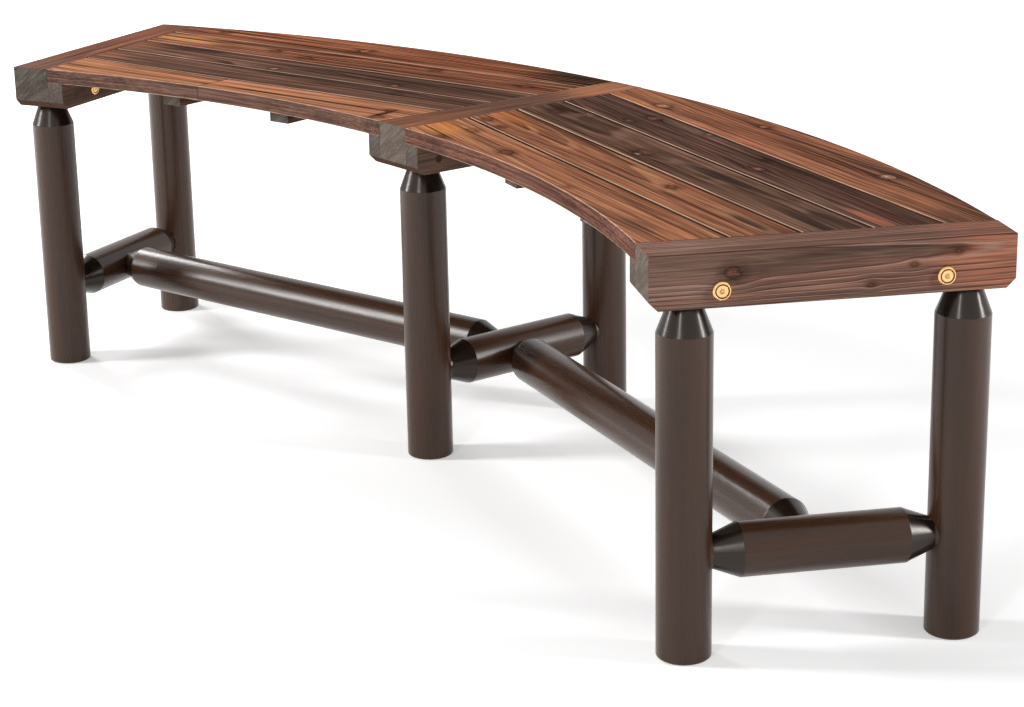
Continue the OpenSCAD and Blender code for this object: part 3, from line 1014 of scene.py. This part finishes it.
@dataclass
class Hardware:
    """The bolts and sleeve nuts, turned with a rim, a groove and a hexagon socket, and the screws."""

    segments: int = 48
    arris: float = 0.12 * MM
    bolt_radius: float = 10 * MM
    nut_radius: float = 9 * MM
    head_height: float = 4 * MM
    head_margin: float = 2.5 * MM
    bevel: float = 1.1 * MM
    bevel_depth: float = 1.2 * MM
    rim: float = 1.1 * MM
    flank: float = 0.2 * MM
    groove: float = 1.2 * MM
    groove_depth: float = 1.3 * MM
    middle_depth: float = 0.26 * MM
    mouth_radius: float = 4.32 * MM
    socket_flats: float = 6 * MM
    socket_depth: float = 2.4 * MM
    hollow_shade_depth: float = 0.5 * MM
    shank_radius: float = 4 * MM
    sleeve_radius: float = 5.5 * MM

    def build(self) -> None:
        """Makes all fasteners."""
        brass = Metal("brass_plated_steel_turned", "#EABF88", "#C08A4C", 0.2).build()
        # Painted shade: the groove and the socket of each head get a dark brass, as if in their own shade.
        hollow_shade_brass = Metal("brass_plated_steel_with_dark_wax", "#7A4E28", "#3A2414", 0.45).build()
        zinc = Metal("zinc_plated_steel_rolled", "#A9A59B", "#6F6A60", 0.35).build()
        # Painted shade: the cleats' screw heads are drawn near black, as if sunk in holes in shade.
        screw_hole_shade_steel = Metal("bronzed_steel_rolled", "#2E2014", "#150F0A", 0.35).build()
        kinds = (("bolt", self.bolt_radius, self.shank_radius), ("nut", self.nut_radius, self.sleeve_radius))
        for side in Side:
            for row in Row:
                for kind, head, shank in kinds:
                    node = f"{side.word}_{row.value}_{kind}"
                    shape = self.fastener(node, side, head, shank)
                    finish_piece(f"{node}_turned", shape, Slot.BRASS, node, (brass, hollow_shade_brass))
        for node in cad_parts:
            if node.endswith("_screws"):
                self.dress(node, screw_hole_shade_steel if "cleat" in node else zinc)

    def fastener(self, node: str, side: Side, head: float, shank: float) -> BMesh:
        """Makes a bolt or a sleeve nut.

        Args:
            node: The CAD node that it stands for.
            side: The rail that it goes through.
            head: The radius of its head in metres.
            shank: The radius of its shank or sleeve.

        Returns:
            Its shape, with the faces of the groove and the socket, which get painted shade, numbered 1.
        """
        along = PLAN.outward(side).cross(UP)
        points = node_points(node)
        middle = middle_along(points, (along, UP, PLAN.outward(side)))
        reaches = [(p - middle).dot(along) for p in points]
        # The head is at the end whose points lie far from the axis.
        wide = [r for p, r in zip(points, reaches)
                if (p - middle - along * r).length > head - self.head_margin]
        outward = along if sum(wide) > 0 else -along
        length = max(reaches) - min(reaches)
        shape = spun(self.profile(head, shank, length), self.segments)
        self.sink_socket(shape)
        bmesh.ops.recalc_face_normals(shape, faces=shape.faces)
        ease_edges(shape, folded_edges(shape, EDGE_ANGLE), self.arris, 2)
        self.mark_hollow_shade(shape, self.groove_inside(head))
        seat(shape, middle + outward * length / 2, outward)
        return shape

    def groove_inside(self, head: float) -> float:
        """Gives the radius of the groove's inner wall in a head of a radius."""
        return head - self.bevel - self.rim - self.flank - self.groove

    def profile(self, head: float, shank: float, length: float) -> list[tuple[float, float]]:
        """Lays out a fastener from the socket's mouth to the shank's end.

        Args:
            head: The radius of its head in metres.
            shank: The radius of its shank or sleeve.
            length: Its length.

        Returns:
            Each corner's radius and height over the head's face.
        """
        inner = self.groove_inside(head)
        outer = inner + self.groove
        return [(self.mouth_radius, -self.middle_depth), (inner - self.flank, -self.middle_depth),
                (inner, -self.groove_depth), (outer, -self.groove_depth), (outer + self.flank, 0),
                (head - self.bevel, 0), (head, -self.bevel_depth), (head, -self.head_height),
                (shank, -self.head_height), (shank, -length), (0, -length)]

    def sink_socket(self, shape: BMesh) -> None:
        """Closes the mouth of a head with a face that has a hexagon sunk into it.

        Args:
            shape: The fastener's shape.
        """
        mouth = [e for e in shape.edges if len(e.link_faces) == 1]
        lip = Matrix.Translation((0, 0, -self.middle_depth))
        made = bmesh.ops.create_circle(shape, segments=6, matrix=lip, cap_ends=False,
                                       radius=self.socket_flats / math.sqrt(3))
        hexagon = list({e for v in made["verts"] for e in v.link_edges})
        bmesh.ops.bridge_loops(shape, edges=mouth + hexagon)
        walls = bmesh.ops.extrude_edge_only(shape, edges=hexagon)["geom"]
        deep = [v for v in walls if isinstance(v, BMVert)]
        bmesh.ops.translate(shape, vec=(0, 0, -self.socket_depth), verts=deep)
        floor = [e for e in walls if isinstance(e, BMEdge) and all(v in deep for v in e.verts)]
        bmesh.ops.contextual_create(shape, geom=floor)

    def mark_hollow_shade(self, shape: BMesh, inner: float) -> None:
        """Numbers the faces in the groove and the socket, which get a dark brass as painted shade.

        Args:
            shape: The fastener's shape.
            inner: The radius of the groove's inner wall.
        """
        for face in shape.faces:
            centre = face.calc_center_median()
            ring = math.hypot(centre.x, centre.y)
            in_groove = inner - self.flank < ring < inner + self.groove + self.flank
            in_socket = ring < self.socket_flats / math.sqrt(3)
            if -self.head_height < centre.z < -self.hollow_shade_depth and (in_groove or in_socket):
                face.material_index = 1

    def dress(self, node: str, material: Material) -> None:
        """Gives a CAD node that stays a material.

        Args:
            node: The node's name.
            material: The material.
        """
        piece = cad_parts[node]
        piece.data.materials.clear()
        piece.data.materials.append(material)
        log.info("%s: stays, in %s", node, material.name)


SLAT_WOODS = {
    "left_slat_1": CarbonisedFir(
        light="#CE9170", mid="#A76F52", dark="#6B4435", side="#554744", bias=-0.1, joint=-36.0,
        valley_strength=0.4, line_strength=0.4, pith_across=-70,
        knots=(Knot(312, -34, 9), Knot(296, 8, 6)),
        patches=(Patch(150, 2, 300, 6, 1.0, "#4A2E20"), Patch(304, -14, 7, 32, 1.0, "#201915"),
                 Patch(-250, -4, 160, 5, 0.8, "#65422F"))),
    "left_slat_2": CarbonisedFir(
        light="#836052", mid="#61473E", dark="#43332A", crest="#A87A66", worn_strength=0.6, pith_across=60,
        knots=(Knot(228, 10, 9, heart="#5A4438"),),
        patches=(Patch(120, 24, 260, 9, 0.85), Patch(-350, -10, 70, 30, 0.7, "#9A6B54"))),
    "left_slat_3": CarbonisedFir(
        light="#936F5D", mid="#654B41", dark="#44332C", crest="#A07566", bias=0.1, worn_strength=0.6,
        pith_across=-40,
        knots=(Knot(-40, -26, 7, heart="#C09078"), Knot(188, -26, 7, heart="#B08068")),
        patches=(Patch(170, 5, 260, 30, 0.7, "#3A2E29"), Patch(-240, 20, 60, 14, 0.8),
                 Patch(-370, 0, 70, 34, 0.8, "#9C6850"))),
    "left_slat_4": CarbonisedFir(
        light="#AB6D53", mid="#78493B", dark="#503028", line_strength=1.0, line_width=4.5,
        valley_strength=1.0, worn_strength=0.6, pith_across=55,
        knots=(Knot(-140, 3, 8, rim=0.85), Knot(-62, -14, 9, rim=0.85), Knot(162, 16, 8, rim=0.85),
               Knot(340, -7, 8, rim=0.85)),
        patches=(Patch(-330, 0, 80, 30, 0.8, "#DB9A66"), Patch(-320, 8, 110, 5, 1.0, "#3E2A20"),
                 Patch(-350, -18, 80, 4, 1.0, "#3E2A20"))),
    "left_slat_5": CarbonisedFir(
        light="#B97255", mid="#8E523D", dark="#5F3729", line_strength=1.0, line_width=4.5,
        valley_strength=1.0, worn_strength=0.6, pith_across=-60,
        knots=(Knot(-30, 8, 11, rim=0.9, heart="#C48A64"), Knot(-320, 12, 9, rim=0.9)),
        patches=(Patch(370, 5, 90, 60, 1.0, "#26201D"), Patch(-390, 0, 60, 40, 0.7, "#6A4A42"),
                 Patch(-250, 18, 150, 4, 1.0, "#3E271E"), Patch(-190, -8, 170, 4, 1.0, "#3E271E"),
                 Patch(70, -14, 130, 4, 0.9, "#4A2E22"), Patch(120, 20, 90, 3, 0.9, "#4A2E22"))),
    "right_slat_1": CarbonisedFir(
        light="#BA7F60", mid="#97614A", dark="#754C3C", side="#604641", bias=-0.1,
        valley_strength=0.35, line_strength=0.4, pith_across=80,
        knots=(Knot(-142, 4, 10, rim=0.9), Knot(-277, 18, 8, heart="#A86F48"), Knot(-262, -32, 9),
               Knot(55, -10, 6, 0.6, "#7E4A36", "#A86448")),
        patches=(Patch(252, -16, 44, 14, 0.6, "#4E3E35"), Patch(-330, -10, 90, 26, 0.8, "#DC8E52"),
                 Patch(-300, -24, 130, 2.4, 0.9, "#6A402C"), Patch(-250, 12, 150, 2.2, 0.9, "#5E3A2A"),
                 Patch(-340, 30, 80, 2.2, 0.9, "#5E3A2A"))),
    "right_slat_2": CarbonisedFir(
        light="#B1775A", mid="#885945", dark="#634436", valley_strength=0.5, line_strength=0.5,
        pith_depth=71.3, pith_across=0,
        knots=(Knot(-327, -26, 8), Knot(-277, -28, 7), Knot(113, 9, 8, rim=0.8, heart="#8A6044")),
        patches=(Patch(-330, 2, 100, 30, 0.6, "#D4824E"), Patch(310, 6, 80, 12, 0.8, "#4E423C"),
                 Patch(-230, 28, 170, 8, 0.85, "#4A3028"), Patch(-290, 16, 120, 2.2, 0.9, "#5A382A"),
                 Patch(-340, -16, 80, 2.2, 0.9, "#5A382A"), Patch(-230, -4, 120, 2.2, 0.85, "#5A382A"))),
    "right_slat_3": CarbonisedFir(
        light="#896A58", mid="#654B3F", dark="#49362B", crest="#A07868", valley_strength=0.35,
        pith_across=15,
        knots=(Knot(-60, -12, 13, heart="#7E564A"), Knot(-58, -24, 6, 0.3, heart="#AE8A78"),
               Knot(-330, -4, 12, heart="#5A4038")),
        patches=(Patch(120, 6, 110, 12, 0.8), Patch(340, 2, 90, 30, 0.6),
                 Patch(-290, 2, 130, 34, 0.6, "#3C2F29"), Patch(-340, 14, 50, 12, 0.7, "#29211E"))),
    "right_slat_4": CarbonisedFir(
        light="#7E6054", mid="#5D443B", dark="#432F2B", crest="#9A7262", bias=0.05,
        valley_strength=0.5, line_strength=0.5, pith_across=-65,
        knots=(Knot(-230, 12, 11, heart="#8E6058"), Knot(80, -14, 9, heart="#9A685C"),
               Knot(-112, 27, 8, heart="#8A6A58"), Knot(-232, -22, 8, heart="#6A5A4C"),
               Knot(45, 16, 8, heart="#3A302C")),
        patches=(Patch(340, -22, 50, 11, 0.75, "#B06E50"), Patch(-270, 0, 150, 36, 0.6, "#352B27"),
                 Patch(60, 20, 110, 8, 0.7, "#2C2420"))),
    "right_slat_5": CarbonisedFir(
        light="#BC7B5D", mid="#8F5B48", dark="#624135", valley_strength=0.55, pith_across=85,
        knots=(Knot(-292, -8, 12, heart="#C69070"), Knot(-117, 42, 9, heart="#C98866"),
               Knot(185, 29, 11, heart="#C8A08A")),
        patches=(Patch(250, 40, 280, 15, 0.9, "#4C3831"), Patch(-190, 40, 200, 13, 0.6, "#6A4538"),
                 Patch(390, 10, 60, 50, 0.7, "#4E3D35"), Patch(-330, -24, 80, 10, 0.7, "#C8824E"))),
}

RAIL = CarbonisedFir(arris="#A8836F", side_share=0.0, worn_depth=0.9, worn_strength=0.3, line_strength=0.2,
                     valley_strength=0.35, pith_depth=-17, pith_across=14, taper=0.012)
RAIL_WOODS = {
    Side.LEFT: replace(
        RAIL, light="#86594B", mid="#745044", dark="#5A443C", end="#554D47", end_band="#6B635B",
        patches=(Patch(130, 20, 90, 40, 0.7, "#8E5A4A"), Patch(-150, 20, 60, 40, 0.5, "#7C6860"))),
    Side.CENTRE: replace(
        RAIL, light="#8E5E4C", mid="#7E5444", dark="#624A40",
        patches=(Patch(150, 29, 60, 60, 0.9, "#B0765A"), Patch(0, 29, 90, 60, 0.7, "#5C4A44"),
                 Patch(-160, 29, 50, 60, 0.6, "#84594A"))),
    Side.RIGHT: replace(
        RAIL, light="#936B5D", mid="#7E5F54", dark="#695850", valley="#523930", crest="#B58E7C",
        arris="#4A332A", heart="#6B5348", ring=4.9, ring_tone=0.25, worn_depth=2.0, worn_strength=0.8,
        valley_strength=0.8, crest_strength=0.8, pith_depth=-17.7, pith_across=15, lean=-0.035, taper=0.0,
        waver=6.0, tremble=2.5, relief=0.6, heart_radius=21.7,
        knots=(Knot(-107, 7, 7.5, 0.8, "#3C2C26", "#8A5C4A", 0.9), Knot(39, -15, 3.4), Knot(84, 3, 3.0),
               Knot(132, 14, 2.8)),
        patches=(Patch(-60, 13, 60, 8, 0.7, "#4E3E37"), Patch(5, 21, 44, 4.5, 1.0, "#352B29"),
                 Patch(-165, 8, 70, 40, 0.75, "#A08072"), Patch(165, 0, 70, 40, 0.8, "#B8745A"))),
}
# Painted light: the cleats' tones are lightened to lift the shade that falls on them under the slats.
CLEAT_WOOD = CarbonisedFir(
    light="#7E6458", mid="#735D52", dark="#68554C", valley="#483730", crest="#967866", arris="#A8836F",
    end="#5F554F", end_band="#736962", ring_tone=0.15, side_share=0.35, worn_depth=0.9, worn_strength=0.35,
    valley_strength=0.12, crest_strength=0.1, line_strength=0.05)
BATTEN_WOOD = CarbonisedFir(
    light="#7E6152", mid="#675248", dark="#4E423D", crest="#86695A", arris="#A8836F", side_share=0.3,
    worn_depth=0.9, worn_strength=0.35, valley_strength=0.5, line_strength=0.3)


@dataclass(frozen=True)
class Softbox:
    """A rectangular lamp: its place, its size in metres, its radiance and what it is turned to."""

    name: str
    place: tuple[float, float, float]
    width: float
    height: float
    radiance: float
    target: tuple[float, float, float] = (0.0, 0.0, 0.25)


def seen_or_mirrored(g: Graph) -> NodeSocket:
    """Tells the rays that show a surface itself from those that only carry its light.

    Args:
        g: The graph of the surface's material or of the world.

    Returns:
        1 where the camera looks, where gloss mirrors and where glass lets through, and 0 else.
    """
    seen = g.add("LightPath", ())
    path = seen.node
    for word in ("Is Glossy Ray", "Is Transmission Ray"):
        seen = g.add("Math", (seen, path.outputs[word]), operation="MAXIMUM")
    return seen


@dataclass
class Studio:
    """The plain floor, the soft lights and the camera, whose lens goes with the photograph's width."""

    floor_size: float = 60.0
    floor_colour: str = "#F4F4F4"
    floor_lifts: tuple[tuple[float, float], ...] = ((0.8, 0.32), (2.2, 0.52), (5.0, 0.95))
    world_level: float = 0.2
    softboxes: tuple[Softbox, ...] = (
        Softbox("softbox_left", (-2.55, -3.45, 2.7), 0.75, 2.5, 30.0),
        Softbox("softbox_right", (3.6, 2.4, 1.9), 0.45, 2.4, 34.0),
        Softbox("softbox_beside_camera", (2.5, -3.9, 2.2), 0.4, 2.2, 15.0),
        Softbox("softbox_far_left", (-4.1, 0.1, 2.3), 1.1, 1.4, 23.0),
    )
    photo_pixels: int = 1024
    focal_pixels: float = 2419.48
    sensor_width: float = 36.0
    camera_reach: float = 100.0
    camera_place: tuple[float, float, float] = (2.4855, -1.8013, 1.0779)
    camera_azimuth: float = 0.9238
    camera_pitch: float = 0.3013
    camera_roll: float = -0.0189

    def build(self) -> None:
        """Makes the floor, the world, the lights and the camera."""
        self.floor()
        self.world()
        self.lights()
        self.camera()
        bpy.context.scene.view_settings.view_transform = "Standard"

    def floor(self) -> None:
        """Makes the floor, which shows white to the camera and keeps the bench's shadow."""
        shape = bmesh.new()
        bmesh.ops.create_grid(shape, x_segments=1, y_segments=1, size=self.floor_size / 2)
        mesh = bpy.data.meshes.new("studio_floor")
        shape.to_mesh(mesh)
        shape.free()
        g = Graph(bpy.data.materials.new("matt_white_studio_paint"))
        # The lamps' light falls off with distance, so the floor's own white grows away from the bench.
        here = g.add("TexCoord", (), 3)
        away = g.add("VectorMath", (here,), 1, operation="LENGTH")
        near, middle, far = self.floor_lifts
        inner = g.add("MapRange", (away, near[0], middle[0], near[1], middle[1]))
        outer = g.add("MapRange", (away, middle[0], far[0], 0.0, far[1] - middle[1]))
        lift = g.add("Math", (inner, outer), operation="ADD")
        lift = g.add("Math", (seen_or_mirrored(g), lift), operation="MULTIPLY")
        g.feed(g.shader, {"Base Color": self.floor_colour, "Roughness": 0.9, "Specular IOR Level": 0.0,
                          "Emission Color": WHITE, "Emission Strength": lift})
        mesh.materials.append(g.owner)
        show(bpy.data.objects.new("studio_floor", mesh))

    def world(self) -> None:
        """Makes the white surroundings: white to the camera, in gloss and through glass, soft light else."""
        g = Graph(bpy.data.worlds.new("studio_white"), "Background")
        bpy.context.scene.world = g.owner
        level = g.add("MapRange", {"Value": seen_or_mirrored(g), "To Min": self.world_level})
        g.feed(g.shader, {"Color": WHITE, "Strength": level})

    def lights(self) -> None:
        """Hangs the softboxes round the bench. A lamp's power is its radiance times pi and its area."""
        for box in self.softboxes:
            data = bpy.data.lights.new(box.name, "AREA")
            data.shape = "RECTANGLE"
            data.size = box.width
            data.size_y = box.height
            data.energy = box.radiance * math.pi * box.width * box.height
            lamp = show(bpy.data.objects.new(box.name, data))
            lamp.location = box.place
            lamp.rotation_euler = (Vector(box.place) - Vector(box.target)).to_track_quat("Z", "Y").to_euler()

    def camera(self) -> None:
        """Puts the camera where the photograph was taken from, tilted down with no shift."""
        data = bpy.data.cameras.new("camera")
        data.sensor_width = self.sensor_width
        data.lens = self.focal_pixels * self.sensor_width / self.photo_pixels
        data.clip_end = self.camera_reach
        camera = show(bpy.data.objects.new("camera", data))
        camera.location = self.camera_place
        upright = Euler((math.pi / 2 - self.camera_pitch, 0, self.camera_azimuth)).to_quaternion()
        camera.rotation_mode = "QUATERNION"
        camera.rotation_quaternion = upright @ Quaternion(UP, self.camera_roll)
        bpy.context.scene.camera = camera


def main() -> None:
    """Builds the studio and the bench."""
    logging.basicConfig(level=logging.INFO, format="%(message)s")
    Studio().build()
    LogFrame().build()
    Slats(SLAT_WOODS).build()
    Beams(RAIL_WOODS, CLEAT_WOOD, BATTEN_WOOD).build()
    Hardware().build()


if __name__ == "__main__":
    main()
